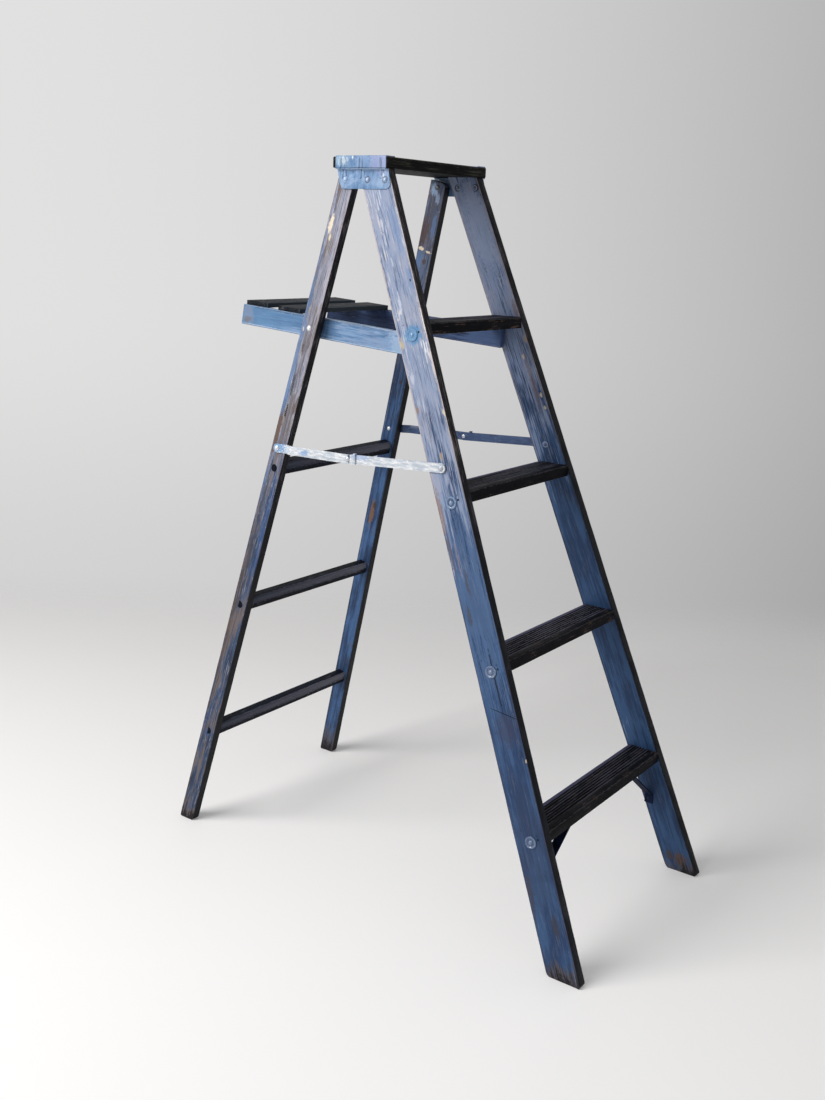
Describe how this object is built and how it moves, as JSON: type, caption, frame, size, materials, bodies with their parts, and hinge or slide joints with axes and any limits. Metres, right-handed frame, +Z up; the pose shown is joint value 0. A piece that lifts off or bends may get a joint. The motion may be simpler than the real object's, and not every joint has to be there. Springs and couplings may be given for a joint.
{
  "type": "folding stepladder",
  "caption": "Folding wooden stepladder with grooved steps, a top cap on steel brackets, a hinged rear frame, folding steel spreaders and a swing-up pail shelf.",
  "frame": {"origin": "on the floor, in the middle of the four feet", "axes": "+Z up, -Y towards the climbing side, +X across the width"},
  "size_m": [0.5526, 1.078, 1.493],
  "materials": {
    "rail_paint": "brushed blue paint on softwood, scratched and worn at the edges",
    "leg_paint": "thin blue paint on softwood with bare grain showing",
    "step_paint": "worn matt black paint on softwood",
    "rung_paint": "worn dark navy paint on softwood",
    "shelf_paint": "worn mid blue paint on softwood",
    "slat_paint": "worn dark paint on softwood",
    "bracket_paint": "glossy light blue paint on pressed steel",
    "spreader_paint": "worn light paint on flat steel",
    "hardware_paint": "blue paint on steel hardware",
    "bare_steel": "dull bare steel"
  },
  "bodies": {
    "front_frame": {"left_side_rail": "rail_paint", "right_side_rail": "rail_paint", "step_1": "step_paint", "step_2": "step_paint", "step_3": "step_paint", "step_4": "step_paint", "truss_rod_1": "hardware_paint", "truss_rod_2": "hardware_paint", "truss_rod_3": "hardware_paint", "truss_rod_4": "hardware_paint", "truss_rod_washers": "hardware_paint", "step_nails": "bare_steel", "left_step_brace": "hardware_paint", "right_step_brace": "hardware_paint", "brace_screws": "bare_steel", "top_cap": "step_paint", "left_cap_bracket": "bracket_paint", "right_cap_bracket": "bracket_paint", "bracket_rivets": "bare_steel", "rivet_washers": "bare_steel", "cap_nails": "bare_steel", "hinge_rivets": "bare_steel", "spreader_front_rivets": "bare_steel"},
    "rear_frame": {"left_rear_leg": "leg_paint", "right_rear_leg": "leg_paint", "rear_rung_1": "rung_paint", "rear_rung_2": "rung_paint", "rear_rung_3": "rung_paint", "spreader_rear_rivets": "bare_steel", "shelf_pivot_bolts": "bare_steel", "shelf_pivot_spacers": "bare_steel"},
    "left_front_bar": {"left_spreader_front_bar": "spreader_paint", "left_knee_burr": "bare_steel"},
    "right_front_bar": {"right_spreader_front_bar": "spreader_paint", "right_knee_burr": "bare_steel"},
    "left_rear_bar": {"left_spreader_rear_bar": "spreader_paint", "left_knee_rivet": "bare_steel"},
    "right_rear_bar": {"right_spreader_rear_bar": "spreader_paint", "right_knee_rivet": "bare_steel"},
    "pail_shelf": {"left_shelf_arm": "shelf_paint", "right_shelf_arm": "shelf_paint", "shelf_slat_rear": "slat_paint", "shelf_slat_front": "slat_paint", "slat_nails": "bare_steel"}
  },
  "joints": [
    {"name": "rear_frame_fold", "type": "hinge", "parent": "front_frame", "child": "rear_frame", "pos_m": [0, 0.15718, 1.4489], "axis": [1, 0, 0], "range_deg": [-36, 0]},
    {"name": "left_front_bar_turn", "type": "hinge", "parent": "front_frame", "child": "left_front_bar", "pos_m": [-0.2085, -0.12654, 0.922], "axis": [1, 0, 0], "range_deg": [0, 64.86]},
    {"name": "right_front_bar_turn", "type": "hinge", "parent": "front_frame", "child": "right_front_bar", "pos_m": [0.2085, -0.12654, 0.922], "axis": [1, 0, 0], "range_deg": [0, 64.86]},
    {"name": "left_rear_bar_turn", "type": "hinge", "parent": "rear_frame", "child": "left_rear_bar", "pos_m": [-0.205, 0.29568, 0.905], "axis": [1, 0, 0], "range_deg": [-62.2, 0]},
    {"name": "right_rear_bar_turn", "type": "hinge", "parent": "rear_frame", "child": "right_rear_bar", "pos_m": [0.205, 0.29568, 0.905], "axis": [1, 0, 0], "range_deg": [-62.2, 0]},
    {"name": "pail_shelf_swing", "type": "hinge", "parent": "rear_frame", "child": "pail_shelf", "pos_m": [0, 0.22984, 1.1575], "axis": [1, 0, 0], "range_deg": [0, 100.45]}
  ],
  "couplings": [
    {"joint": "left_front_bar_turn", "follows": "rear_frame_fold", "ratio": -1.8016},
    {"joint": "left_rear_bar_turn", "follows": "rear_frame_fold", "ratio": 1.7277},
    {"joint": "right_front_bar_turn", "follows": "rear_frame_fold", "ratio": -1.8016},
    {"joint": "right_rear_bar_turn", "follows": "rear_frame_fold", "ratio": 1.7277},
    {"joint": "pail_shelf_swing", "follows": "rear_frame_fold", "ratio": -2.79}
  ]
}
